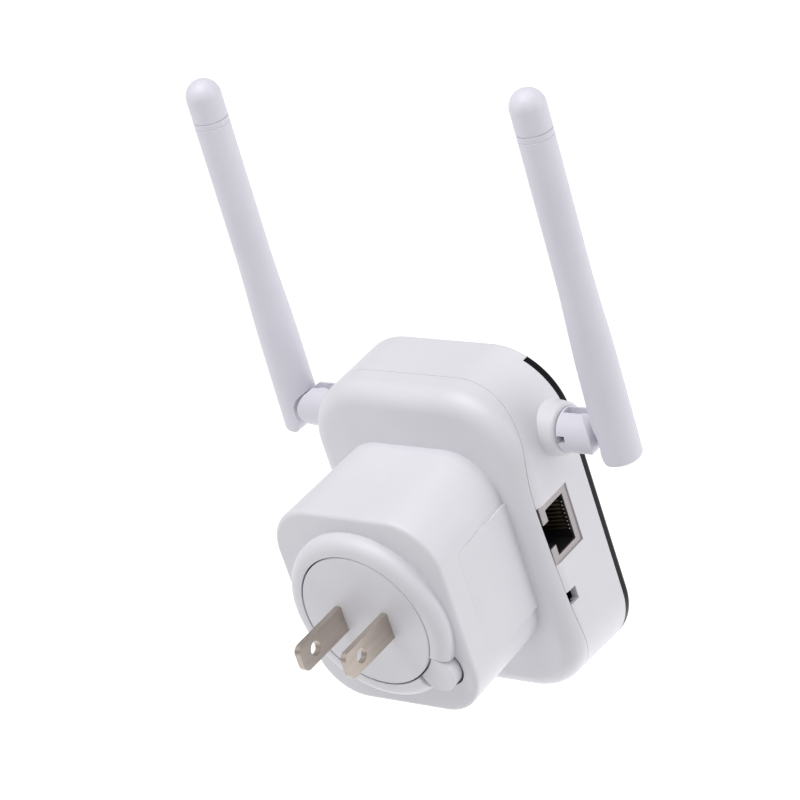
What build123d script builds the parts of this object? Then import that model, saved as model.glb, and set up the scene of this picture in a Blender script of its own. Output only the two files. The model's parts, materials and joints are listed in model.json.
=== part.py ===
from build123d import *
import os
from math import cos, radians, sin, sqrt

# Plug-in wifi range extender with two folding antennas, a network socket on its side and a
# twist-off mains plug on its back.
#
# Frame, in millimetres: the origin is the centre of the plug disc's face, which rests on the wall
# outlet. +Y points into the wall, along the blades, +Z is up and +X is to the right for somebody
# who looks at the front panel. "Depth" is the distance from the wall's plane towards the front, so
# a sketch at depth d lies on Y = -d, and its extrusions grow towards the front.

# ---- driving dimensions ---------------------------------------------------------------------
body_w, body_h = 56.4, 79.0        # outline of the body at the front, along X and Z
body_z = -0.6                      # height of the outline's centre
back_h, back_z = 77.7, 0.05        # the same at the back, where the underside is drafted upwards
body_r = 16.3                      # corner radius of the outline
d_back, d_seam = 30.2, 32.6        # depths of the body's back face and of the casing seam at mid height
d_panel, d_front = 50.5, 52.9      # depths of the front panel's two faces
brow_z = 36.3                      # above this height the white casing reaches the front
back_edge_r = 4.6                  # round edge of the back face
wall = 1.8                         # wall of both casings
front_wall = 1.6                   # the front casing's wall behind the panel
seam_gap = 0.12
# the seam sweeps towards the front at the top and the bottom: heights and depths along it
seam_curve = ((-44.0, 38.4), (-34.0, 36.1), (-24.0, 34.2), (-12.0, 33.1), (2.5, d_seam),
              (20.0, 33.0), (29.0, 35.1), (36.0, 37.6), (44.0, 38.4))
lip_t, lip_len = 0.85, 1.6         # lip that carries the rear cover into the front casing

block_w, block_h = 44.8, 49.6      # plug block at its end
block_w1, block_h1 = 41.6, 51.2    # plug block where it meets the body
block_z, block_r = -0.2, 11.5
d_block = 3.7                      # depth of the block's end face
pad_d0, pad_x0, pad_x1 = 11.0, 21.98, 21.65   # raised grip pads: their start and their faces
pad_z, pad_len = -0.6, 26.8

ring_r, ring_edge_r = 20.7, 2.9    # raised ring round the plug disc
disc_r, disc_gap = 16.4, 0.35      # plug disc and the gap round it
socket_floor, socket_end = 8.6, 10.4
socket_wall_r = 18.8
lug_r, hub_r = 16.4, 14.4          # bayonet lugs and hub of the plug module
lug_d0, lug_d1 = 5.2, 8.0
lug_angles = (-74.0, 46.0, 166.0)
unlock_turn = 30.0

blade_x, blade_w, blade_t = 6.35, 6.35, 1.5
blade_len, blade_hole_y, blade_hole_r = 15.9, 10.9, 1.65
tip_r = 1.7                        # rounded corners of a blade's tip

button_angle, button_rho = -140.0, 19.2
button_r, button_hole_r = 4.4, 4.9
button_travel = 1.8
well_floor_d, well_floor_t = 7.6, 1.6

jack_w, jack_z = 14.8, 2.9         # shielded network socket
jack_d0, jack_d1 = 32.75, 43.3
jack_face_x, jack_len = -27.9, 16.0
plug_way_w, plug_way_h = 11.7, 6.75
plug_way_d = 41.45                 # depth of the contact side of the plug way
latch_w = 6.2

reset_z, reset_d, reset_w = -13.6, 34.6, 3.3
reset_travel = 0.35

board_t = 1.6
board_d = jack_d1                  # main board, rear side
board_w, board_h, board_r = 51.0, 72.0, 13.0
power_d = 14.2                     # power board, wall side
power_w, power_h, power_r = 37.0, 42.0, 7.5

ant_d, ant_z = 45.7, 22.9          # swivel axis of the antennas
ant_lean = 2.7                     # degrees the rods lean towards the front
boss_r0, boss_r1, boss_len = 6.4, 5.8, 3.4
shaft_r, shaft_fit = 2.8, 0.05
clip_r, clip_groove_r = 3.9, 2.2
post_r = 5.0
post_x0, post_x1 = 31.8, 40.6
fork_end_r = 5.15                  # round end of the fork
slot_half, slot_x0 = 1.15, 32.3
fold_x = 36.4                      # fold axis
tongue_half, tongue_r = 1.0, 3.8
rod_x = 44.0
rod_low_r, rod_top_r = 4.7, 3.98
rod_bottom, cap_z, rod_top = -6.0, 71.7, 81.0
flare_z0, flare_z1 = 14.0, 40.0    # the flare fades out between these heights of the rod
relief_x, relief_r = 38.25, 3.95     # relief in the rod that clears the fork when it folds
toe_r = 3.2                        # round of the rod's inner lower corner
bore_r = 2.2
coax_r = 0.57

half_w = body_w / 2
boss_x = half_w + boss_len
rear_wall_d = d_back + wall
front_wall_d = d_panel - front_wall


def at_depth(d):
    """Sketch plane parallel to the front panel; local x is X and local y is Z."""
    return Plane.XZ.offset(d)


def across(x):
    """Sketch plane square to X; local x is Y and local y is Z."""
    return Plane.YZ.offset(x)


def polar(rho, angle):
    """Point of a depth plane at a radius and an angle from +X towards +Z."""
    return (rho * cos(radians(angle)), rho * sin(radians(angle)))


button_x, button_z = polar(button_rho, button_angle)


def sector(r0, r1, mid, half):
    """Flat ring sector between two radii about an angle, to add to a depth sketch."""
    with BuildSketch() as shape:
        with BuildLine():
            outer = ThreePointArc(polar(r1, mid - half), polar(r1, mid), polar(r1, mid + half))
            inner = ThreePointArc(polar(r0, mid - half), polar(r0, mid), polar(r0, mid + half))
            Line(outer @ 0, inner @ 0)
            Line(outer @ 1, inner @ 1)
        make_face()
    return shape.sketch


def save(part, label):
    """Label a finished piece and write it to its own STEP file."""
    part.label = label
    export_step(part, f"parts/{label}.step")


os.makedirs("parts", exist_ok=True)


# ---- shared volumes ---------------------------------------------------------------------------
def body_volume(inset, d_end=d_panel):
    """The body's outer shape, pushed in by inset, from its back face to depth d_end."""
    with BuildPart() as volume:
        for d, h, z in ((d_back + inset, back_h, back_z), (d_panel, body_h, body_z)):
            with BuildSketch(at_depth(d)):
                with Locations((0, z)):
                    RectangleRounded(body_w - 2 * inset, h - 2 * inset, body_r - inset)
        loft()
        fillet(volume.faces().sort_by(Axis.Y)[-1].edges(), back_edge_r - inset)
        if d_end < d_panel:
            with BuildSketch(at_depth(d_end)):
                Rectangle(2 * body_w, 2 * body_h)
            extrude(amount=d_panel, mode=Mode.SUBTRACT)
    return volume.part


def block_volume(inset, d_start, d_end):
    """The plug block's outer shape between two depths, pushed in by inset."""
    with BuildPart() as volume:
        for d in (d_start, d_end):
            t = (d - d_block) / (d_back - d_block)
            with BuildSketch(at_depth(d)):
                with Locations((0, block_z)):
                    RectangleRounded(block_w + (block_w1 - block_w) * t - 2 * inset,
                                     block_h + (block_h1 - block_h) * t - 2 * inset, block_r - inset)
        loft()
    return volume.part


def seam_region(shift):
    """Everything on the wall side of the casing seam, grown towards the front by shift."""
    end_z = seam_curve[-1][0]
    with BuildPart() as region:
        with BuildSketch(across(-body_w)):
            with BuildLine():
                curve = Spline(*[(-d - shift, z) for z, d in seam_curve])
                Polyline(curve @ 1, (0, end_z), (0, -end_z), curve @ 0)
            make_face()
        extrude(amount=2 * body_w)
    return region.part


def above_brow(shift):
    """Everything higher than the brow's lower edge, which moves up by shift."""
    with BuildPart() as region:
        with BuildSketch(Plane.XY.offset(brow_z + shift)):
            Rectangle(2 * body_w, 4 * d_front)
        extrude(amount=body_h)
    return region.part


def rod_profile_radius(z):
    """Outer radius of an antenna rod: slim above, with a soft flare in its lower third."""
    t = min(max((z - flare_z0) / (flare_z1 - flare_z0), 0.0), 1.0)
    return rod_top_r + (rod_low_r - 0.12 - rod_top_r) * (1 - t * t * (3 - 2 * t))


# ---- front casing -----------------------------------------------------------------------------
board_screws_xz = ((-19.5, -29.0), (19.5, -29.0), (-14.0, 31.0), (14.0, 31.0))
led_xs = (-9.0, -3.0, 3.0, 9.0)
led_z = -22.0

with BuildPart() as front_slab:
    with BuildSketch(at_depth(d_panel)):
        with Locations((0, body_z)):
            RectangleRounded(body_w, body_h, body_r)
    extrude(amount=d_front - d_panel)
    fillet(front_slab.faces().sort_by(Axis.Y)[0].edges(), 1.2)

with BuildPart() as front_casing:
    add(body_volume(0))
    add(body_volume(wall, front_wall_d), mode=Mode.SUBTRACT)
    add(seam_region(seam_gap / 2), mode=Mode.SUBTRACT)
    add(body_volume(wall - lip_t - 0.05) & seam_region(lip_len + 0.2), mode=Mode.SUBTRACT)
    for side in (-1, 1):
        with BuildSketch(Plane.XY.offset(ant_z)):
            with BuildLine():
                Line((side * (half_w - 2.4), -ant_d), (side * boss_x, -ant_d))
                Line((side * boss_x, -ant_d), (side * boss_x, boss_r1 - 0.7 - ant_d))
                ThreePointArc((side * boss_x, boss_r1 - 0.7 - ant_d),
                              (side * (boss_x - 0.25), boss_r1 - 0.12 - ant_d),
                              (side * (boss_x - 0.85), boss_r1 + 0.15 - ant_d))
                Polyline((side * (boss_x - 0.85), boss_r1 + 0.15 - ant_d),
                         (side * (half_w - 2.4), boss_r0 - ant_d), (side * (half_w - 2.4), -ant_d))
            make_face()
        revolve(axis=Axis((0, -ant_d, ant_z), (1, 0, 0)))
        with BuildSketch(across(side * (half_w - wall - 2))):
            with Locations((-ant_d, ant_z)):
                Circle(shaft_r + shaft_fit)
        extrude(amount=side * (boss_len + wall + 3), mode=Mode.SUBTRACT)
        with BuildSketch(across(side * (half_w - wall))):
            with Locations((-ant_d, ant_z)):
                Circle(clip_r + 0.3)
        extrude(amount=-side * 3.2, mode=Mode.SUBTRACT)
    with BuildSketch(at_depth(d_panel)):
        Rectangle(body_w + 0.1, body_h)
    extrude(amount=4, mode=Mode.SUBTRACT)
    add(front_slab.part & above_brow(0))
    with BuildSketch(at_depth(board_d + board_t)):
        with Locations(*board_screws_xz):
            Circle(2.6)
    extrude(amount=front_wall_d - board_d - board_t + 0.1)
    with BuildSketch(at_depth(board_d + board_t)):
        with Locations(*board_screws_xz):
            Circle(0.8)
    extrude(amount=3.6, mode=Mode.SUBTRACT)
    with BuildSketch(at_depth(front_wall_d - 1)):
        with Locations(*[(x, led_z) for x in led_xs]):
            Circle(1.3)
    extrude(amount=front_wall + 2, mode=Mode.SUBTRACT)
    with BuildSketch(across(-half_w - 1)):
        with Locations((-(d_back + jack_d1 + 0.05) / 2, jack_z)):
            Rectangle(jack_d1 + 0.05 - d_back, jack_w + 0.1)
        with Locations((-(d_back + reset_d + reset_w / 2) / 2, reset_z)):
            Rectangle(reset_d + reset_w / 2 - d_back, reset_w)
    extrude(amount=wall + 2.2, mode=Mode.SUBTRACT)
save(front_casing.part, "front_casing")

# ---- front panel ------------------------------------------------------------------------------
with BuildPart() as front_panel:
    add(front_slab.part)
    add(above_brow(-0.06), mode=Mode.SUBTRACT)
save(front_panel.part, "front_panel")

# ---- rear cover with plug block, disc socket and button well ------------------------------------
power_screws_xz = ((15.0, 18.2), (-15.0, 18.2), (15.0, -18.2))
stem_r, stem_fit = 1.8, 0.05
well_end = well_floor_d + well_floor_t

with BuildPart() as cover_lip:
    add(body_volume(wall - lip_t) & seam_region(lip_len))
    add(body_volume(wall), mode=Mode.SUBTRACT)
    with BuildSketch(at_depth(d_back)):
        Rectangle(2 * body_w, 2 * body_h)
    extrude(amount=rear_wall_d - d_back, mode=Mode.SUBTRACT)
    with BuildSketch(across(-half_w - 1)):
        with Locations((-jack_d1, jack_z), (-jack_d1, reset_z)):
            Rectangle(2 * (jack_d1 - d_seam + seam_gap / 2), jack_w + 0.3)
    extrude(amount=wall + 5, mode=Mode.SUBTRACT)

with BuildPart() as rear_cover:
    add(body_volume(0) & seam_region(-seam_gap / 2))
    add(block_volume(0, d_block, d_back + 1.0))
    fillet(rear_cover.faces().sort_by(Axis.Y)[-1].edges(), 1.1)
    with BuildSketch(at_depth(0)):
        Circle(ring_r)
    extrude(amount=d_block + 0.5)
    fillet(rear_cover.faces().sort_by(Axis.Y)[-1].edges(), ring_edge_r)
    # raised grip pads on both sides of the block
    for side in (-1, 1):
        with BuildSketch(Plane.XY.offset(pad_z - pad_len / 2)):
            with BuildLine():
                Polyline((side * pad_x0, -pad_d0), (side * pad_x1, -d_back - 0.5),
                         (side * (pad_x1 - 3), -d_back - 0.5), (side * (pad_x1 - 3), -pad_d0), close=True)
            make_face()
        extrude(amount=pad_len)
    # the body's cavity and the block's cavity
    add(body_volume(wall), mode=Mode.SUBTRACT)
    add(block_volume(wall, d_block + wall, d_back + wall + 0.5), mode=Mode.SUBTRACT)
    # cup for the plug disc and well for the release button
    with BuildSketch(at_depth(d_block)):
        Circle(socket_wall_r)
    extrude(amount=socket_end - d_block)
    with BuildSketch(at_depth(d_block)):
        with Locations((button_x, button_z)):
            Circle(button_hole_r + 1.5)
    extrude(amount=well_end - d_block)
    with BuildSketch(at_depth(0)):
        Circle(disc_r + disc_gap)
    extrude(amount=2.9, mode=Mode.SUBTRACT)
    with BuildSketch(at_depth(2.5)):
        Circle(hub_r + 0.35)
    extrude(amount=4.0, mode=Mode.SUBTRACT)
    with BuildSketch(at_depth(4.9)):
        Circle(lug_r + 0.4)
    extrude(amount=socket_floor - 4.9, mode=Mode.SUBTRACT)
    # ways in for the bayonet lugs, one unlocking turn away from where they lock
    for angle in lug_angles:
        with BuildSketch(at_depth(2.6)):
            add(sector(hub_r - 2, lug_r + 0.3, angle - unlock_turn, 12.5))
        extrude(amount=3.0, mode=Mode.SUBTRACT)
    # button well, its guide bore and the room for the clip behind it
    with BuildSketch(at_depth(0)):
        with Locations((button_x, button_z)):
            Circle(button_hole_r)
    extrude(amount=well_floor_d, mode=Mode.SUBTRACT)
    with BuildSketch(at_depth(well_floor_d - 1)):
        with Locations((button_x, button_z)):
            Circle(stem_r + stem_fit)
    extrude(amount=well_floor_t + 2, mode=Mode.SUBTRACT)
    with BuildSketch(at_depth(well_end)):
        with Locations((button_x, button_z)):
            Circle(3.3)
    extrude(amount=2.0, mode=Mode.SUBTRACT)
    # windows for the contact springs
    with BuildSketch(at_depth(socket_floor - 1)):
        with Locations((-blade_x, 0), (blade_x, 0)):
            RectangleRounded(4.4, 9.0, 1.0)
    extrude(amount=socket_end - socket_floor + 2, mode=Mode.SUBTRACT)
    # posts for the power board
    with BuildSketch(at_depth(d_block + wall - 0.1)):
        with Locations(*power_screws_xz):
            Circle(2.4)
    extrude(amount=power_d - d_block - wall + 0.1)
    with BuildSketch(at_depth(power_d - 5.0)):
        with Locations(*power_screws_xz):
            Circle(0.8)
    extrude(amount=6.0, mode=Mode.SUBTRACT)
    add(cover_lip.part)
save(rear_cover.part, "rear_cover")

# ---- plug module ------------------------------------------------------------------------------
with BuildPart() as plug_disc:
    with BuildSketch(at_depth(0)):
        Circle(disc_r)
    extrude(amount=2.5)
    fillet(plug_disc.faces().sort_by(Axis.Y)[-1].edges(), 0.3)
    with BuildSketch(at_depth(2.4)):
        Circle(hub_r)
    extrude(amount=lug_d1 - 2.4)
    for angle in lug_angles:
        with BuildSketch(at_depth(lug_d0)):
            add(sector(hub_r - 2, lug_r, angle, 10))
        extrude(amount=lug_d1 - lug_d0)
    with BuildSketch(at_depth(-1)):
        with Locations((-blade_x, 0), (blade_x, 0)):
            Rectangle(blade_t, blade_w)
    extrude(amount=lug_d1 + 2, mode=Mode.SUBTRACT)
save(plug_disc.part, "plug_disc")

with BuildPart() as plug_blades:
    for x in (-blade_x, blade_x):
        with BuildSketch(across(x - blade_t / 2)):
            with BuildLine():
                Polyline((blade_len - tip_r, blade_w / 2), (-lug_d1, blade_w / 2),
                         (-lug_d1, -blade_w / 2), (blade_len - tip_r, -blade_w / 2))
                RadiusArc((blade_len - tip_r, -blade_w / 2), (blade_len, tip_r - blade_w / 2), -tip_r)
                Line((blade_len, tip_r - blade_w / 2), (blade_len, blade_w / 2 - tip_r))
                RadiusArc((blade_len, blade_w / 2 - tip_r), (blade_len - tip_r, blade_w / 2), -tip_r)
            make_face()
            with Locations((blade_hole_y, 0)):
                Circle(blade_hole_r, mode=Mode.SUBTRACT)
        extrude(amount=blade_t)
save(plug_blades.part, "plug_blades")

# ---- release button -----------------------------------------------------------------------------
button_top, button_foot = 0.5, 3.9
stem_end, clip_d, clip_t = 11.2, well_end + 0.3, 0.6

with BuildPart() as release_button:
    with BuildSketch(at_depth(button_top)):
        with Locations((button_x, button_z)):
            Circle(button_r)
    extrude(amount=button_foot - button_top)
    fillet(release_button.faces().sort_by(Axis.Y)[-1].edges(), 0.5)
    with BuildSketch(at_depth(button_top - 1)):
        Circle(disc_r + disc_gap + 0.05)
    extrude(amount=button_foot, mode=Mode.SUBTRACT)
    # shallow finger dish
    with Locations((button_x, -button_top + 17.45, button_z)):
        Sphere(18.0, mode=Mode.SUBTRACT)
    # tongue that reaches under the rim of the plug disc
    with BuildSketch(at_depth(3.1)):
        with Locations(Location((button_x, button_z), button_angle)):
            with Locations((-(button_rho - 16.3), 0)):
                Rectangle(2.2, 3.0)
    extrude(amount=button_foot - 3.1)
    with BuildSketch(at_depth(button_foot - 0.1)):
        with Locations((button_x, button_z)):
            Circle(stem_r)
    extrude(amount=stem_end - button_foot + 0.1)
    with BuildSketch(at_depth(clip_d)):
        with Locations((button_x, button_z)):
            Circle(stem_r + 1)
            Circle(1.35, mode=Mode.SUBTRACT)
    extrude(amount=clip_t, mode=Mode.SUBTRACT)
save(release_button.part, "release_button")

with BuildPart() as release_clip:
    with BuildSketch(at_depth(clip_d)):
        with Locations((button_x, button_z)):
            Circle(2.9)
            Circle(1.35, mode=Mode.SUBTRACT)
            with Locations((0, -3)):
                Rectangle(1.8, 4.0, mode=Mode.SUBTRACT)
    extrude(amount=clip_t)
save(release_clip.part, "release_clip")

spring_r, spring_wire, spring_turns = 2.45, 0.35, 3
spring_free = well_floor_d - button_foot - spring_wire - 0.3

with BuildPart() as release_spring:
    with BuildLine():
        coil = Helix(spring_free / spring_turns, spring_free, spring_r,
                     center=(button_x, -button_foot - spring_wire / 2 - 0.15, button_z),
                     direction=(0, -1, 0))
    with BuildSketch(Plane(coil @ 0, z_dir=coil % 0)):
        Circle(spring_wire / 2)
    sweep(is_frenet=True)
save(release_spring.part, "release_spring")

# ---- antennas -----------------------------------------------------------------------------------
# Each antenna swivels about X in its boss and folds about the cross pivot of its fork. Its own
# plane "ant" stands on the swivel axis and leans with the rod: local x is X, local z runs up the rod.
ant = Plane(origin=(0, -ant_d, ant_z), x_dir=(1, 0, 0),
            z_dir=(0, -sin(radians(ant_lean)), cos(radians(ant_lean))))
fold = ant.y_dir


def ant_side(y):
    """Plane along the fork's flat sides at local height y: its sketch is X against rod height."""
    return Plane(origin=ant.origin + fold * y, x_dir=(1, 0, 0), z_dir=fold * -1)


def ant_end(x):
    """Plane square to the swivel axis: its sketch is fold direction against rod height."""
    return Plane(origin=ant.origin + Vector(x, 0, 0), x_dir=fold, z_dir=(1, 0, 0))


groove_z, cap_gap = cap_z - 1.35, 0.08
pivot_r, pivot_fit = 1.35, 0.05
coax_y, coax_z = 1.8, -0.4
clip_gap, clip_w = 0.3, 0.6
shaft_x0 = half_w - wall - clip_gap - clip_w - 1.0


def antenna_post(side):
    """Swivel shaft with the fork that the rod folds in."""
    with BuildPart() as post:
        with BuildSketch(ant_end(side * post_x0)):
            Circle(post_r)
        extrude(amount=side * (post_x1 + 1 - post_x0))
        with BuildSketch(ant_side(-post_r - 1)):
            with Locations((side * post_x1, 0)):
                Rectangle(2 * fork_end_r, 2 * post_r + 2)
            with Locations((side * (post_x1 - fork_end_r), 0)):
                Circle(fork_end_r, mode=Mode.SUBTRACT)
        extrude(amount=-2 * post_r - 2, mode=Mode.SUBTRACT)
        with BuildSketch(ant_end(side * shaft_x0)):
            Circle(shaft_r)
        extrude(amount=side * (post_x0 - shaft_x0 + 0.1))
        with BuildSketch(ant_end(side * (shaft_x0 + 1.0))):
            Circle(shaft_r + 1)
            Circle(clip_groove_r, mode=Mode.SUBTRACT)
        extrude(amount=side * clip_w, mode=Mode.SUBTRACT)
        with BuildSketch(ant_end(side * (shaft_x0 - 1))):
            Circle(1.3)
        extrude(amount=side * (slot_x0 - shaft_x0 + 1), mode=Mode.SUBTRACT)
        with BuildSketch(ant.offset(-post_r - 1)):
            with Locations((side * (slot_x0 + 10), 0)):
                Rectangle(20, 2 * slot_half)
        extrude(amount=2 * post_r + 2, mode=Mode.SUBTRACT)
        # window and groove that the antenna lead runs through
        with BuildSketch(ant_side(0)):
            with Locations((side * (post_x0 + 1.1), 0.2)):
                Rectangle(2.0, 1.8)
        extrude(amount=-post_r - 1, mode=Mode.SUBTRACT)
        with BuildSketch(ant_end(side * (post_x0 - 0.2))):
            with Locations((coax_y, coax_z)):
                Circle(0.75)
            with Locations((coax_y - 0.5, coax_z)):
                Rectangle(1.0, 1.5)
        extrude(amount=side * 10, mode=Mode.SUBTRACT)
        for y in (-slot_half - 0.03, slot_half + 0.03):
            with BuildSketch(ant_side(y)):
                with Locations((side * fold_x, 0)):
                    Circle(pivot_r)
            extrude(amount=0.88 if y > 0 else -0.88)
    return post.part


def antenna_clip(side):
    """Snap ring that keeps the swivel shaft in the casing."""
    with BuildPart() as clip:
        with BuildSketch(ant_end(side * (shaft_x0 + 1.0))):
            Circle(clip_r)
            Circle(clip_groove_r, mode=Mode.SUBTRACT)
            with Locations((0, -4)):
                Rectangle(2.6, 5.0, mode=Mode.SUBTRACT)
        extrude(amount=side * clip_w)
    return clip.part


def antenna_rod(side):
    """Hollow rod with the relief and the tongue at its foot."""
    foot_r, neck = rod_low_r - 0.12, cap_z
    with BuildPart() as rod:
        with BuildSketch(ant_side(0)):
            with BuildLine():
                x0 = side * rod_x
                Line((x0, rod_bottom), (x0 + rod_low_r - 1.2, rod_bottom))
                ThreePointArc((x0 + rod_low_r - 1.2, rod_bottom),
                              (x0 + rod_low_r - 0.35, rod_bottom + 0.35), (x0 + rod_low_r, rod_bottom + 1.2))
                Line((x0 + rod_low_r, rod_bottom + 1.2), (x0 + foot_r, flare_z0))
                Spline(*[(x0 + rod_profile_radius(flare_z0 + (flare_z1 - flare_z0) * i / 4),
                          flare_z0 + (flare_z1 - flare_z0) * i / 4) for i in range(5)],
                       tangents=((0, 1), (0, 1)))
                Polyline((x0 + rod_top_r, flare_z1), (x0 + rod_top_r, groove_z - 0.14),
                         (x0 + rod_top_r - 0.12, groove_z), (x0 + rod_top_r, groove_z + 0.14),
                         (x0 + rod_top_r, neck - 0.1), (x0 + rod_top_r - 0.1, neck), (x0, neck),
                         (x0, rod_bottom))
            make_face()
        revolve(axis=Axis(ant.origin + Vector(side * rod_x, 0, 0), ant.z_dir))
        with BuildSketch(ant_side(-6)):
            with Locations((side * relief_x, 0)):
                Circle(relief_r)
            with Locations((side * (relief_x + relief_r - 5), -5)):
                Rectangle(10, 10)
            with Locations((side * (relief_x + relief_r + toe_r / 2 - 0.2), rod_bottom + toe_r / 2 - 0.2)):
                Rectangle(toe_r, toe_r)
            with Locations((side * (relief_x + relief_r + toe_r - 0.2), rod_bottom + toe_r - 0.2)):
                Circle(toe_r, mode=Mode.SUBTRACT)
        extrude(amount=-12, mode=Mode.SUBTRACT)
        with BuildSketch(ant_side(-tongue_half)):
            with Locations((side * fold_x, 0)):
                Circle(tongue_r)
            with Locations((side * (fold_x + rod_x - 0.5) / 2, 0)):
                Rectangle(rod_x - 0.5 - fold_x, 5.6)
        extrude(amount=-2 * tongue_half)
        with BuildSketch(ant_side(-2)):
            with Locations((side * fold_x, 0)):
                Circle(pivot_r + pivot_fit)
        extrude(amount=-4, mode=Mode.SUBTRACT)
        with BuildSketch(ant.offset(-3.5)):
            with Locations((side * rod_x, 0)):
                Circle(bore_r - 0.6)
        extrude(amount=12, mode=Mode.SUBTRACT)
        with BuildSketch(ant.offset(8)):
            with Locations((side * rod_x, 0)):
                Circle(bore_r)
        extrude(amount=cap_z - 7, mode=Mode.SUBTRACT)
        with BuildSketch(ant_end(side * (rod_x - 2.8))):
            with Locations((1.3, coax_z)):
                Circle(0.72)
        extrude(amount=side * 2.4, mode=Mode.SUBTRACT)
    return rod.part


def antenna_cap(side):
    """Domed tip that plugs into the rod."""
    with BuildPart() as cap:
        with BuildSketch(ant_side(0)):
            with BuildLine():
                x0 = side * rod_x
                low = cap_z + cap_gap
                Polyline((x0, cap_z - 3), (x0 + bore_r - 0.02, cap_z - 3), (x0 + bore_r - 0.02, low),
                         (x0 + rod_top_r - 0.1, low), (x0 + rod_top_r, low + 0.1),
                         (x0 + rod_top_r, rod_top - rod_top_r))
                ThreePointArc((x0 + rod_top_r, rod_top - rod_top_r),
                              (x0 + rod_top_r * sqrt(0.5), rod_top - rod_top_r * (1 - sqrt(0.5))),
                              (x0, rod_top))
                Line((x0, rod_top), (x0, cap_z - 3))
            make_face()
        revolve(axis=Axis(ant.origin + Vector(side * rod_x, 0, 0), ant.z_dir))
    return cap.part


def antenna_sleeve(side):
    """Brass tube of the dipole, pushed into the rod's bore."""
    with BuildPart() as sleeve:
        with BuildSketch(ant.offset(12)):
            with Locations((side * rod_x, 0)):
                Circle(bore_r)
                Circle(bore_r - 0.3, mode=Mode.SUBTRACT)
        extrude(amount=22)
    return sleeve.part


def antenna_whip(side):
    """Upper wire of the dipole."""
    with BuildPart() as whip:
        with BuildSketch(ant.offset(36)):
            with Locations((side * rod_x, 0)):
                Circle(0.35)
        extrude(amount=23)
    return whip.part


def lead(points, radii, radius):
    """Round lead along straight runs joined by tangent arcs."""
    with BuildPart() as tube:
        with BuildLine():
            path = FilletPolyline(*points, radius=radii)
        with BuildSketch(Plane(path @ 0, z_dir=path % 0)):
            Circle(radius)
        sweep()
    return tube.part


def ant_point(side, x, y, z):
    """Point given along the swivel axis, the fold direction and the rod."""
    return ant.from_local_coords((side * x, y, z))


for side, name in ((-1, "left"), (1, "right")):
    save(antenna_post(side), f"{name}_antenna_post")
    save(antenna_clip(side), f"{name}_antenna_clip")
    save(antenna_rod(side), f"{name}_antenna_rod")
    save(antenna_cap(side), f"{name}_antenna_cap")
    save(antenna_sleeve(side), f"{name}_dipole_sleeve")
    save(antenna_whip(side), f"{name}_dipole_whip")
    inside = [(side * 12.5, -ant_d, 8.0), (side * 12.5, -ant_d, 15.0), (side * 17.5, -ant_d, ant_z),
              (side * (post_x0 + 0.1), -ant_d, ant_z)]
    save(lead(inside, [2.5, 5.0], coax_r), f"{name}_coax_lead")
    across_fork = [ant_point(side, x, y, coax_z) for x, y in
                   ((post_x0 + 0.2, 1.0), (slot_x0 + 0.2, coax_y), (post_x1 - 0.1, coax_y))]
    save(lead(across_fork, [0.8], coax_r), f"{name}_coax_link")
    up_the_rod = [ant_point(side, rod_x - 1.9, 1.3, coax_z), ant_point(side, rod_x - 0.8, 0.7, coax_z),
                  ant_point(side, rod_x, 0, 1.2), ant_point(side, rod_x, 0, 36.0)]
    save(lead(up_the_rod, [0.7, 1.0], coax_r - 0.02), f"{name}_rod_coax")

# ---- network socket -----------------------------------------------------------------------------
jack_back_x = jack_face_x + jack_len
jack_mid_d = (jack_d0 + jack_d1) / 2
jack_h = jack_d1 - jack_d0
shell_t = 0.3
way_mid_d = plug_way_d - plug_way_h / 2
way_depth = 12.4
latch_d0 = jack_d0 + shell_t


def jack_opening():
    """Mouth of the socket: the plug's way and the latch's way beside it."""
    with BuildSketch() as mouth:
        with Locations((-way_mid_d, jack_z)):
            Rectangle(plug_way_h, plug_way_w)
        with Locations((-(latch_d0 - 1 + plug_way_d - 2) / 2, jack_z)):
            Rectangle(plug_way_d - 2 - latch_d0 + 1, latch_w)
    return mouth.sketch


with BuildPart() as jack_shield:
    with BuildSketch(across(jack_face_x)):
        with Locations((-jack_mid_d, jack_z)):
            Rectangle(jack_h, jack_w)
    extrude(amount=jack_len)
    with BuildSketch(across(jack_face_x + 0.5)):
        with Locations((-jack_mid_d, jack_z)):
            Rectangle(jack_h - 2 * shell_t, jack_w - 2 * shell_t)
    extrude(amount=jack_len - 0.5 - shell_t, mode=Mode.SUBTRACT)
    with BuildSketch(across(jack_face_x - 1)):
        add(jack_opening())
    extrude(amount=2, mode=Mode.SUBTRACT)
save(jack_shield.part, "jack_shield")

with BuildPart() as jack_insert:
    with BuildSketch(across(jack_face_x + 0.5)):
        with Locations((-jack_mid_d, jack_z)):
            Rectangle(jack_h - 2 * shell_t, jack_w - 2 * shell_t)
    extrude(amount=jack_len - 0.5 - shell_t)
    with BuildSketch(across(jack_face_x)):
        add(jack_opening())
    extrude(amount=way_depth, mode=Mode.SUBTRACT)
    # slots that hold the contact wires in the floor of the way
    with BuildSketch(across(jack_face_x + 0.4)):
        with GridLocations(1.0, 1.016, 1, 8):
            with Locations((-plug_way_d - 0.35, jack_z)):
                Rectangle(0.9, 0.56)
    extrude(amount=way_depth + 0.8, mode=Mode.SUBTRACT)
save(jack_insert.part, "jack_insert")

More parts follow.
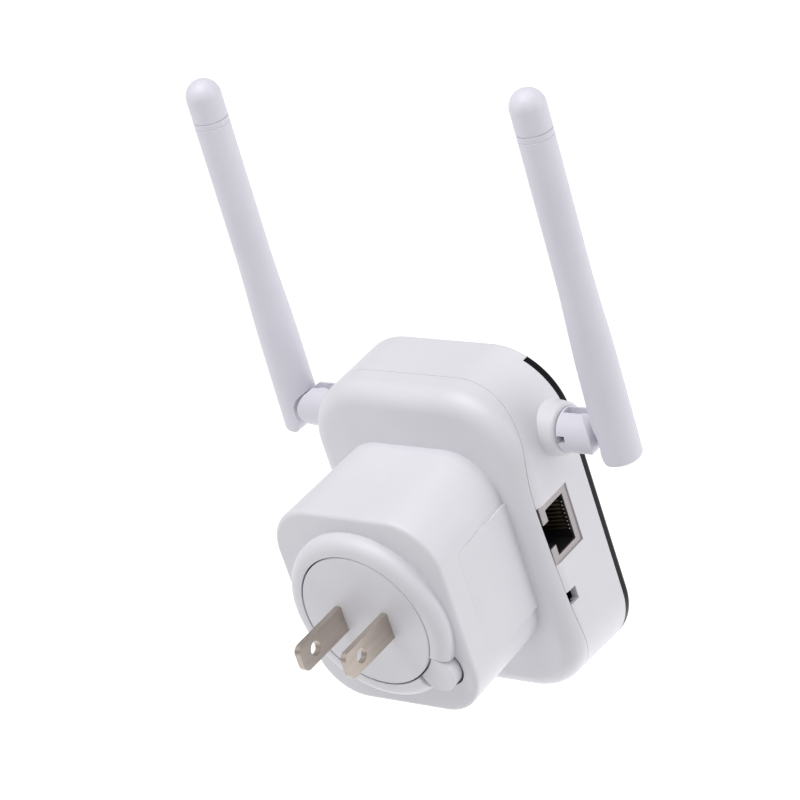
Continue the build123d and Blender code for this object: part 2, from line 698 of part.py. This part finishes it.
with BuildPart() as jack_contacts:
    for i in range(8):
        z = jack_z + (i - 3.5) * 1.016
        with BuildSketch(Plane.XY.offset(z - 0.23)):
            with BuildLine():
                x0, x1 = jack_face_x + 1.6, jack_face_x + way_depth - 0.6
                Polyline((x1 + 1.2, -plug_way_d - 0.55), (x0, -plug_way_d - 0.55), (x0, -plug_way_d - 0.2),
                         (x0 + 0.35, -plug_way_d - 0.1), (x1 - 1.4, -plug_way_d + 2.6),
                         (x1 - 1.0, -plug_way_d + 2.3), (x0 + 1.4, -plug_way_d - 0.2),
                         (x1 + 1.2, -plug_way_d - 0.2), close=True)
            make_face()
        extrude(amount=0.46)
save(jack_contacts.part, "jack_contacts")

# ---- reset switch ---------------------------------------------------------------------------------
switch_x0, switch_len, switch_w = -22.8, 3.6, 6.0
plunger_r, plunger_tip_x = 1.5, -25.3

with BuildPart() as reset_switch:
    with BuildSketch(across(switch_x0)):
        with Locations((-(32.4 + board_d) / 2, reset_z)):
            Rectangle(board_d - 32.4, switch_w)
    extrude(amount=switch_len)
    with BuildSketch(across(switch_x0 - 1)):
        with Locations((-reset_d - 0.9, reset_z)):
            Circle(plunger_r + 0.05)
    extrude(amount=3.4, mode=Mode.SUBTRACT)
save(reset_switch.part, "reset_switch")

with BuildPart() as reset_button:
    with BuildSketch(across(plunger_tip_x)):
        with Locations((-reset_d - 0.9, reset_z)):
            Circle(plunger_r)
    extrude(amount=switch_x0 + 2.4 - reset_travel - 0.1 - plunger_tip_x)
    fillet(reset_button.faces().sort_by(Axis.X)[0].edges(), 0.25)
save(reset_button.part, "reset_button")

# ---- main board and what it carries ----------------------------------------------------------------
screw_r, screw_head_r, screw_head_t = 0.78, 1.7, 1.2


def screws(points, d, length):
    """Pan-head screws: heads on the wall side or the front side of a board at depth d."""
    step = 1 if length > 0 else -1
    with BuildPart() as group:
        with BuildSketch(at_depth(d)):
            with Locations(*points):
                Circle(screw_head_r)
        extrude(amount=-step * screw_head_t)
        fillet(group.faces().sort_by(Axis.Y)[-len(points):] .edges() if step > 0
               else group.faces().sort_by(Axis.Y)[:len(points)].edges(), 0.5)
        with BuildSketch(at_depth(d - step * screw_head_t)):
            for px, pz in points:
                with Locations((px, pz)):
                    Rectangle(2.0, 0.45)
                    Rectangle(0.45, 2.0)
        extrude(amount=step * 0.6, mode=Mode.SUBTRACT)
        with BuildSketch(at_depth(d)):
            with Locations(*points):
                Circle(screw_r)
        extrude(amount=length)
    return group.part


with BuildPart() as main_board:
    with BuildSketch(at_depth(board_d)):
        with Locations((0, body_z)):
            RectangleRounded(board_w, board_h, board_r)
        for side in (-1, 1):
            with Locations((side * board_w / 2, ant_z)):
                Rectangle(4.4, 10.6, mode=Mode.SUBTRACT)
        with Locations(*board_screws_xz):
            Circle(1.0, mode=Mode.SUBTRACT)
    extrude(amount=board_t)
save(main_board.part, "main_board")
save(screws(board_screws_xz, board_d, 4.4), "board_screws")


def box_on_board(x, z, w, h, t, edge=0.0):
    """Rectangular component on the wall side of the main board."""
    with BuildPart() as item:
        with BuildSketch(at_depth(board_d)):
            with Locations((x, z)):
                Rectangle(w, h)
        extrude(amount=-t)
        if edge:
            chamfer(item.faces().sort_by(Axis.Y)[-1].edges(), edge)
    return item.part


save(box_on_board(6.0, 16.0, 22.0, 16.0, 2.6, 0.3), "rf_shield")
save(box_on_board(8.0, -3.0, 12.0, 12.0, 1.0, 0.15), "router_chip")
save(box_on_board(8.0, -16.0, 5.3, 5.3, 1.6, 0.2), "flash_chip")
save(box_on_board(-3.5, 3.0, 3.2, 2.5, 0.8, 0.1), "crystal")
save(box_on_board(-5.4, 3.6 - 11.0, 7.2, 12.4, 3.2, 0.3), "lan_transformer")

with BuildPart() as status_leds:
    with BuildSketch(at_depth(board_d + board_t)):
        with Locations(*[(x, led_z) for x in led_xs]):
            Rectangle(1.6, 0.8)
    extrude(amount=0.7)
save(status_leds.part, "status_leds")

with BuildPart() as light_guide:
    with BuildSketch(at_depth(front_wall_d - 1.4)):
        with Locations((0, led_z)):
            RectangleRounded(22.0, 4.0, 1.5)
    extrude(amount=1.4)
    with BuildSketch(at_depth(board_d + board_t + 1.0)):
        with Locations(*[(x, led_z) for x in led_xs]):
            Circle(1.1)
    extrude(amount=d_panel - board_d - board_t - 1.0)
save(light_guide.part, "light_guide")

# ---- power board and what it carries ------------------------------------------------------------------
power_front = power_d + board_t

with BuildPart() as power_board:
    with BuildSketch(at_depth(power_d)):
        with Locations((0, 0)):
            RectangleRounded(power_w, power_h, power_r)
        with Locations((button_x, button_z)):
            Circle(3.0, mode=Mode.SUBTRACT)
        with Locations(*power_screws_xz):
            Circle(1.0, mode=Mode.SUBTRACT)
    extrude(amount=board_t)
save(power_board.part, "power_board")
save(screws(power_screws_xz, power_front, -5.6), "power_board_screws")

with BuildPart() as power_transformer:
    with BuildSketch(at_depth(power_front)):
        with Locations((6.0, 6.5)):
            Rectangle(15.5, 14.0)
    extrude(amount=2.6)
    with BuildSketch(at_depth(power_front + 2.6)):
        with Locations((6.0, 6.5)):
            Rectangle(12.5, 12.8)
    extrude(amount=9.0)
    with BuildSketch(at_depth(power_front + 3.2)):
        with Locations((6.0, 6.5)):
            Rectangle(16.0, 5.0)
    extrude(amount=10.0)
    with BuildSketch(at_depth(power_front + 11.6)):
        with Locations((6.0, 6.5)):
            Rectangle(14.5, 13.6)
    extrude(amount=1.2)
save(power_transformer.part, "power_transformer")


def can(points, radius, height):
    """Round capacitor cans standing on the power board."""
    with BuildPart() as group:
        with BuildSketch(at_depth(power_front + 0.3)):
            with Locations(*points):
                Circle(radius)
        extrude(amount=height)
        fillet(group.edges().filter_by(GeomType.CIRCLE), 0.5)
        with BuildSketch(at_depth(power_front)):
            with Locations(*points):
                Circle(radius * 0.8)
        extrude(amount=0.4)
    return group.part


save(can(((-10.5, 4.0),), 4.0, 13.0), "input_capacitor")
save(can(((8.5, -8.6), (1.4, -12.5)), 3.15, 11.0), "output_capacitors")

with BuildPart() as safety_capacitor:
    with BuildSketch(Plane.XY.offset(13.4)):
        with Locations((-5.0, -power_front - 4.9)):
            Circle(3.9)
    extrude(amount=3.0)
    fillet(safety_capacitor.edges(), 0.7)
    with BuildSketch(at_depth(power_front)):
        with Locations((-7.4, 14.9), (-2.6, 14.9)):
            Circle(0.3)
    extrude(amount=3.4)
save(safety_capacitor.part, "safety_capacitor")

with BuildPart() as fuse_resistor:
    with BuildSketch(across(-11.5)):
        with Locations((-power_front - 2.1, 10.6)):
            Circle(1.5)
    extrude(amount=7.5)
    fillet(fuse_resistor.edges(), 0.4)
    for x in (-13.3, -2.3):
        with BuildSketch(at_depth(power_front)):
            with Locations((x, 10.6)):
                Circle(0.3)
        extrude(amount=2.4)
    with BuildSketch(across(-13.6)):
        with Locations((-power_front - 2.1, 10.6)):
            Circle(0.3)
    extrude(amount=11.6)
save(fuse_resistor.part, "fuse_resistor")

with BuildPart() as bridge_rectifier:
    with BuildSketch(at_depth(power_front)):
        with Locations((-5.4, -5.0)):
            Rectangle(4.7, 4.0)
    extrude(amount=2.5)
    chamfer(bridge_rectifier.faces().sort_by(Axis.Y)[0].edges(), 0.2)
save(bridge_rectifier.part, "bridge_rectifier")

with BuildPart() as power_controller:
    with BuildSketch(at_depth(power_front)):
        with Locations((0.5, -5.4)):
            Rectangle(3.9, 4.9)
    extrude(amount=1.6)
    chamfer(power_controller.faces().sort_by(Axis.Y)[0].edges(), 0.2)
save(power_controller.part, "power_controller")

# springs that press on the inner ends of the blades
with BuildPart() as line_contacts:
    for x in (-blade_x, blade_x):
        with BuildSketch(across(x - 1.5)):
            with BuildLine():
                Polyline((-power_d, -3.4), (-power_d, 3.4), (-power_d + 0.4, 3.4), (-power_d + 0.4, -2.6),
                         (-lug_d1 - 0.75, 1.2), (-lug_d1 - 0.55, 2.4), (-lug_d1 - 0.2, 2.4),
                         (-lug_d1 - 0.2, 1.0), (-power_d + 0.55, -3.4), close=True)
            make_face()
        extrude(amount=3.0)
save(line_contacts.part, "line_contacts")

# two wires from the power board to the main board
with BuildPart() as power_leads:
    for x in (-10.6, -8.2):
        with BuildLine():
            wire = FilletPolyline((x, -power_front, -12.0), (x, -power_front - 9.0, -12.0),
                                  (x, -board_d + 9.0, -18.8), (x, -board_d, -18.8), radius=5.0)
        with BuildSketch(Plane(wire @ 0, z_dir=wire % 0)):
            Circle(0.6)
        sweep()
save(power_leads.part, "power_leads")
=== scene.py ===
import bpy
import bmesh
import json
import math
from mathutils import Matrix, Vector


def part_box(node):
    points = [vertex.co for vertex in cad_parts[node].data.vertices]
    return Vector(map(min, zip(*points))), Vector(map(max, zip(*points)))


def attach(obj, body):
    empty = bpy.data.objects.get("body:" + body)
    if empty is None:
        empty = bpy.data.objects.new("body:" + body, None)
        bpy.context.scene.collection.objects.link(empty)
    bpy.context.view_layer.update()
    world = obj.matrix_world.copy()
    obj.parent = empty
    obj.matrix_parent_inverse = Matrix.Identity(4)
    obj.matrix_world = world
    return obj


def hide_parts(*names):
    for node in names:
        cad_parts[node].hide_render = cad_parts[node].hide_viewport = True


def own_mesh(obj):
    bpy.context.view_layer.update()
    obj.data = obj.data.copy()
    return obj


# A plug-in wifi range extender, seen from behind: two-blade mains plug, two rod antennas and a
# network socket in its side. Metres; +Y into the wall, +Z up.

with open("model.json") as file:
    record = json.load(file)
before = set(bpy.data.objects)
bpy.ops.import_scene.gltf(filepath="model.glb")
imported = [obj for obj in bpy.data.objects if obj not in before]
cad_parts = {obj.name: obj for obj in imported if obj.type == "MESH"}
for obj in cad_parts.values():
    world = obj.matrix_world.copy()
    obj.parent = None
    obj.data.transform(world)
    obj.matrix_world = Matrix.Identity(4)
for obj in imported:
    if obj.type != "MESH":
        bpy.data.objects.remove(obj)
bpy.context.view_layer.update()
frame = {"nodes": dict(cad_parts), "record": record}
nodes = frame["nodes"]
MM = 0.001

# ---- camera --------------------------------------------------------------------------------------
AZIMUTH, ELEVATION, ROLL = math.radians(224.451), math.radians(27.581), math.radians(-18.736)
DISTANCE = 0.743857                         # metres from the camera to the origin
SENSOR, LENS = 36, 156.114                  # millimetres
ASIDE, BELOW = -0.0075080, 0.0475366        # metres from the middle of the view to the origin
CLIP = (0.05, 200)


def build_camera():
    """Camera at the photograph's angle; returns its right, up and backward directions."""
    toward = Vector((math.sin(AZIMUTH) * math.cos(ELEVATION), -math.cos(AZIMUTH) * math.cos(ELEVATION),
                     math.sin(ELEVATION)))
    right = (-toward).cross(Vector((0, 0, 1))).normalized()
    up = right.cross(-toward)
    r = math.cos(ROLL) * right + math.sin(ROLL) * up
    u = -math.sin(ROLL) * right + math.cos(ROLL) * up
    place = DISTANCE * toward - ASIDE * r + BELOW * u
    data = bpy.data.cameras.new("camera")
    data.sensor_width = SENSOR
    data.lens = LENS
    data.clip_start, data.clip_end = CLIP
    cam = bpy.data.objects.new("camera", data)
    bpy.context.scene.collection.objects.link(cam)
    turn = Matrix((r, u, toward)).transposed()
    cam.matrix_world = Matrix.Translation(place) @ turn.to_4x4()
    bpy.context.scene.camera = cam
    return r, u, toward


cam_right, cam_up, cam_toward = build_camera()


# ---- light ---------------------------------------------------------------------------------------
def area(name, place, target, size, power, colour):
    """Soft rectangular light that faces the target."""
    data = bpy.data.lights.new(name, "AREA")
    data.shape = "RECTANGLE"
    data.size, data.size_y = size
    data.energy = power
    data.color = colour
    light = bpy.data.objects.new(name, data)
    light.location = place
    light.rotation_euler = (Vector(target) - light.location).to_track_quat("-Z", "Y").to_euler()
    bpy.context.scene.collection.objects.link(light)


def from_camera(right, up, toward):
    """A place given along the camera's right, up and towards-the-camera directions."""
    return cam_right * right + cam_up * up + cam_toward * toward


WORLD_COLOUR, WORLD_STRENGTH = (0.98, 0.985, 1.0, 1), 0.42
world = bpy.data.worlds.new("studio")
world.use_nodes = True
background = world.node_tree.nodes["Background"]
background.inputs["Color"].default_value = WORLD_COLOUR
background.inputs["Strength"].default_value = WORLD_STRENGTH
bpy.context.scene.world = world

MIDDLE = (0, -0.04, 0.03)                   # what every light is aimed at
NEUTRAL = (1, 1, 1)
LIGHTS = (                                  # name, place, size in metres, watts, colour
    ("overhead", (-0.02, 0.12, 0.85), (0.7, 0.7), 4.6, (0.985, 0.99, 1.0)),
    ("left_front", from_camera(-0.75, 0.35, 0.5), (0.5, 0.6), 1.0, (1.0, 0.995, 0.99)),
    ("right_fill", from_camera(0.8, 0.25, 0.35), (0.5, 0.6), 1.3, NEUTRAL),
    ("side_fill", (-0.75, -0.4, 0.1), (0.4, 0.5), 0.55, NEUTRAL),
)
for light_name, light_place, light_size, watts, tint in LIGHTS:
    area(light_name, light_place, MIDDLE, light_size, watts, tint)


# ---- meshes and materials ------------------------------------------------------------------------
def new_mesh_object(name, bm, smooth=True):
    """Object in the scene made from a bmesh, which is freed."""
    mesh = bpy.data.meshes.new(name)
    bm.to_mesh(mesh)
    bm.free()
    if smooth:
        for p in mesh.polygons:
            p.use_smooth = True
    obj = bpy.data.objects.new(name, mesh)
    bpy.context.scene.collection.objects.link(obj)
    return obj


def node_mat(name):
    """New node material, with its node tree and its surface node."""
    mat = bpy.data.materials.new(name)
    mat.use_nodes = True
    tree = mat.node_tree
    return mat, tree, tree.nodes["Principled BSDF"]


def new_node(tree, kind, values):
    """Node of a kind with the given values on its input sockets."""
    node = tree.nodes.new(kind)
    for key, value in values.items():
        node.inputs[key].default_value = value
    return node


def noise(tree, vector, scale, detail, roughness):
    """Value of a noise texture read at a vector."""
    node = new_node(tree, "ShaderNodeTexNoise", {"Scale": scale, "Detail": detail, "Roughness": roughness})
    tree.links.new(vector, node.inputs["Vector"])
    return node.outputs["Fac"]


NOISE_LOW, NOISE_HIGH = 0.3, 0.7            # the values that most of a noise lies between


def set_colour(tree, bsdf, value, low, high):
    """Base colour between two tones, led by a noise."""
    node = tree.nodes.new("ShaderNodeValToRGB")
    first, last = node.color_ramp.elements
    first.position, last.position = NOISE_LOW, NOISE_HIGH
    first.color, last.color = (*low, 1), (*high, 1)
    tree.links.new(value, node.inputs["Fac"])
    tree.links.new(node.outputs["Color"], bsdf.inputs["Base Color"])


def set_gloss(tree, bsdf, value, rough):
    """Roughness between two values, led by a noise."""
    node = new_node(tree, "ShaderNodeMapRange", {"From Min": NOISE_LOW, "From Max": NOISE_HIGH,
                                                 "To Min": rough[0], "To Max": rough[1]})
    tree.links.new(value, node.inputs["Value"])
    tree.links.new(node.outputs["Result"], bsdf.inputs["Roughness"])


def set_relief(tree, bsdf, value, strength, depth):
    """Very fine relief, led by a noise."""
    node = new_node(tree, "ShaderNodeBump", {"Strength": strength, "Distance": depth})
    tree.links.new(value, node.inputs["Height"])
    tree.links.new(node.outputs["Normal"], bsdf.inputs["Normal"])


CLOUD, SHEEN, GRAIN = 55.0, 140.0, 900.0    # noise cells per metre: colour, gloss and grain
GRAIN_DEPTH, MARK_DEPTH = 0.2 * MM, 0.1 * MM
MARK_BUMP = 0.15


def moulded(name, low, high, rough=(0.32, 0.42), bump=0.05, shine=0.5):
    """Moulded plastic: faint clouding of the colour, uneven gloss and a very fine grain."""
    mat, tree, bsdf = node_mat(name)
    place = tree.nodes.new("ShaderNodeTexCoord").outputs["Object"]
    set_colour(tree, bsdf, noise(tree, place, CLOUD, 3.0, 0.55), low, high)
    set_gloss(tree, bsdf, noise(tree, place, SHEEN, 4.0, 0.6), rough)
    set_relief(tree, bsdf, noise(tree, place, GRAIN, 2.0, 0.5), bump, GRAIN_DEPTH)
    bsdf.inputs["Specular IOR Level"].default_value = shine
    return mat


def metal(name, low, high, rough=(0.25, 0.4), stretch=(30.0, 900.0, 30.0)):
    """Bright metal with fine draw marks along one direction."""
    mat, tree, bsdf = node_mat(name)
    place = tree.nodes.new("ShaderNodeTexCoord").outputs["Object"]
    scale = new_node(tree, "ShaderNodeMapping", {"Scale": stretch})
    tree.links.new(place, scale.inputs["Vector"])
    marks = noise(tree, scale.outputs["Vector"], 1.0, 5.0, 0.6)
    set_colour(tree, bsdf, marks, low, high)
    set_gloss(tree, bsdf, marks, rough)
    set_relief(tree, bsdf, marks, MARK_BUMP, MARK_DEPTH)
    bsdf.inputs["Metallic"].default_value = 1.0
    return mat


MATS = {
    "white_shell": moulded("white_shell", (0.755, 0.745, 0.785), (0.785, 0.775, 0.815)),
    "antenna_shell": moulded("antenna_shell", (0.740, 0.720, 0.790), (0.770, 0.750, 0.820)),
    "black_panel": moulded("black_panel", (0.006, 0.006, 0.007), (0.010, 0.010, 0.012), (0.16, 0.24),
                           0.02, shine=0.12),
    "black_plastic": moulded("black_plastic", (0.010, 0.010, 0.011), (0.022, 0.021, 0.021),
                             (0.40, 0.55), 0.1),
    "blade_metal": metal("blade_metal", (0.49, 0.43, 0.385), (0.58, 0.515, 0.46), (0.36, 0.46),
                         (900.0, 40.0, 900.0)),
    "spring_steel": metal("spring_steel", (0.50, 0.50, 0.51), (0.62, 0.62, 0.63)),
    "screw_steel": metal("screw_steel", (0.45, 0.45, 0.46), (0.60, 0.60, 0.62)),
    "jack_metal": metal("jack_metal", (0.36, 0.33, 0.335), (0.47, 0.43, 0.435), (0.38, 0.52)),
    "contact_gold": metal("contact_gold", (0.17, 0.135, 0.085), (0.26, 0.205, 0.13), (0.35, 0.5)),
    "contact_tip": metal("contact_tip", (0.78, 0.70, 0.60), (0.92, 0.86, 0.76), (0.22, 0.34)),
    "contact_brass": metal("contact_brass", (0.70, 0.52, 0.26), (0.84, 0.65, 0.36)),
    "green_board": moulded("green_board", (0.012, 0.10, 0.045), (0.02, 0.15, 0.065), (0.3, 0.45)),
    "tan_board": moulded("tan_board", (0.34, 0.23, 0.10), (0.42, 0.30, 0.14), (0.5, 0.65)),
    "led_lens": moulded("led_lens", (0.70, 0.71, 0.64), (0.78, 0.78, 0.72)),
    "clear_guide": moulded("clear_guide", (0.74, 0.75, 0.77), (0.82, 0.83, 0.85), (0.2, 0.3)),
    "transformer_yellow": moulded("transformer_yellow", (0.55, 0.40, 0.03), (0.66, 0.50, 0.06)),
    "capacitor_sleeve": moulded("capacitor_sleeve", (0.008, 0.008, 0.014), (0.016, 0.016, 0.026),
                                (0.25, 0.35)),
    "capacitor_blue": moulded("capacitor_blue", (0.02, 0.06, 0.28), (0.03, 0.08, 0.36), (0.2, 0.3)),
    "resistor_body": moulded("resistor_body", (0.08, 0.16, 0.08), (0.12, 0.21, 0.11)),
    "red_wire": moulded("red_wire", (0.32, 0.006, 0.006), (0.42, 0.01, 0.01)),
    "brown_coax": moulded("brown_coax", (0.07, 0.028, 0.012), (0.11, 0.045, 0.02), (0.25, 0.4)),
}

slot_of = {s["node"]: s["material_slot"] for s in frame["record"]["subparts"]}
for name, obj in nodes.items():
    moulded_antenna = "antenna" in name and slot_of[name] == "white_shell"
    mat = MATS["antenna_shell" if moulded_antenna else slot_of[name]]
    for i in range(len(obj.material_slots)):
        obj.material_slots[i].material = mat


# ---- pieces made here ----------------------------------------------------------------------------
def coil(name, low, high, wire_r, turns, steps=36, sides=10):
    """Closed compression spring along Y that fills the box between two corners, its ends cut square."""
    radius = (high.x - low.x) / 2 - wire_r
    centre = (low + high) / 2
    length = high.y - low.y - 2 * wire_r
    rise = length / (2 * math.pi * turns * radius)
    bm = bmesh.new()
    rings = []
    count = int(turns * steps)
    for i in range(count + 1):
        t = i / count
        turn = 2 * math.pi * turns * t
        out = Vector((math.cos(turn), 0, math.sin(turn)))
        along = Vector((-math.sin(turn), rise, math.cos(turn))).normalized()
        side = along.cross(out).normalized()
        place = centre + out * radius + Vector((0, length * (t - 0.5), 0))
        rings.append([bm.verts.new(place + wire_r * (math.cos(a) * out + math.sin(a) * side))
                      for a in (2 * math.pi * k / sides for k in range(sides))])
    for a, b in zip(rings, rings[1:]):
        for k in range(sides):
            bm.faces.new((a[k], a[(k + 1) % sides], b[(k + 1) % sides], b[k]))
    bm.faces.new(rings[0])
    bm.faces.new(rings[-1])
    bmesh.ops.recalc_face_normals(bm, faces=bm.faces)
    return new_mesh_object(name, bm)


def contact_tips(name, x, y, z_mid, pitch, count, half):
    """Row of rounded wire ends at the front edge of the network socket's comb."""
    bm = bmesh.new()
    for i in range(count):
        place = Matrix.Translation((x, y, z_mid + (i - (count - 1) / 2) * pitch))
        bmesh.ops.create_uvsphere(bm, u_segments=12, v_segments=8, radius=1.0,
                                  matrix=place @ Matrix.Diagonal((*half, 1)))
    return new_mesh_object(name, bm)


wires_low, wires_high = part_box("jack_contacts")
shield_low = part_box("jack_shield")[0]
WIRE_PITCH, WIRE_COUNT = 1.016 * MM, 8
TIP_INSET = 0.95 * MM                       # from the socket's face to the wire ends
TIP_RISE = 1.87 * MM                        # from the shield's front side to the wire ends
TIP_HALF = (0.26 * MM, 0.14 * MM, 0.19 * MM)
tips = contact_tips("jack_contact_tips", shield_low.x + TIP_INSET, shield_low.y + TIP_RISE,
                    (wires_low.z + wires_high.z) / 2, WIRE_PITCH, WIRE_COUNT, TIP_HALF)
tips.data.materials.append(MATS["contact_tip"])
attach(tips, "housing")

# the release button's spring, which shortens as the button is pressed; here it is built at one fixed
# length
SPRING_WIRE_R, SPRING_TURNS = 0.17 * MM, 3
spring_low, spring_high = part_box("release_spring")
spring = coil("release_spring_coil", spring_low, spring_high, SPRING_WIRE_R, SPRING_TURNS)
spring.data.materials.append(MATS["spring_steel"])
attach(spring, "housing")
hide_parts("release_spring")
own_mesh(spring)

# ---- floor ---------------------------------------------------------------------------------------
FLOOR_HALF, FLOOR_HEIGHT = 60.0, -0.30
FLOOR_COLOUR, FLOOR_ROUGH, GLOW_COLOUR = (0.9, 0.9, 0.9, 1), 0.9, (1, 1, 1, 1)
AWAY = (0.70, -0.714, 0.0)                  # level direction from the viewer past the extender
GLOW = {"From Min": -0.40, "From Max": 0.18, "To Min": 0.05, "To Max": 0.62}

bm = bmesh.new()
bmesh.ops.create_grid(bm, x_segments=2, y_segments=2, size=FLOOR_HALF)
floor = new_mesh_object("floor", bm, smooth=False)
floor.location = (0, 0, FLOOR_HEIGHT)
floor_mat, tree, bsdf = node_mat("floor_white")
bsdf.inputs["Base Color"].default_value = FLOOR_COLOUR
bsdf.inputs["Roughness"].default_value = FLOOR_ROUGH
bsdf.inputs["Emission Color"].default_value = GLOW_COLOUR
# the floor's own glow is strongest behind the extender and fades out towards the viewer
coord = tree.nodes.new("ShaderNodeTexCoord")
along = tree.nodes.new("ShaderNodeVectorMath")
along.operation = "DOT_PRODUCT"
tree.links.new(coord.outputs["Object"], along.inputs[0])
along.inputs[1].default_value = AWAY
fade = new_node(tree, "ShaderNodeMapRange", GLOW)
fade.interpolation_type = "SMOOTHSTEP"
tree.links.new(along.outputs["Value"], fade.inputs["Value"])
tree.links.new(fade.outputs["Result"], bsdf.inputs["Emission Strength"])
floor.data.materials.append(floor_mat)

view = bpy.context.scene.view_settings
view.view_transform, view.look = "Standard", "None"
view.exposure, view.gamma = 0.0, 1.0
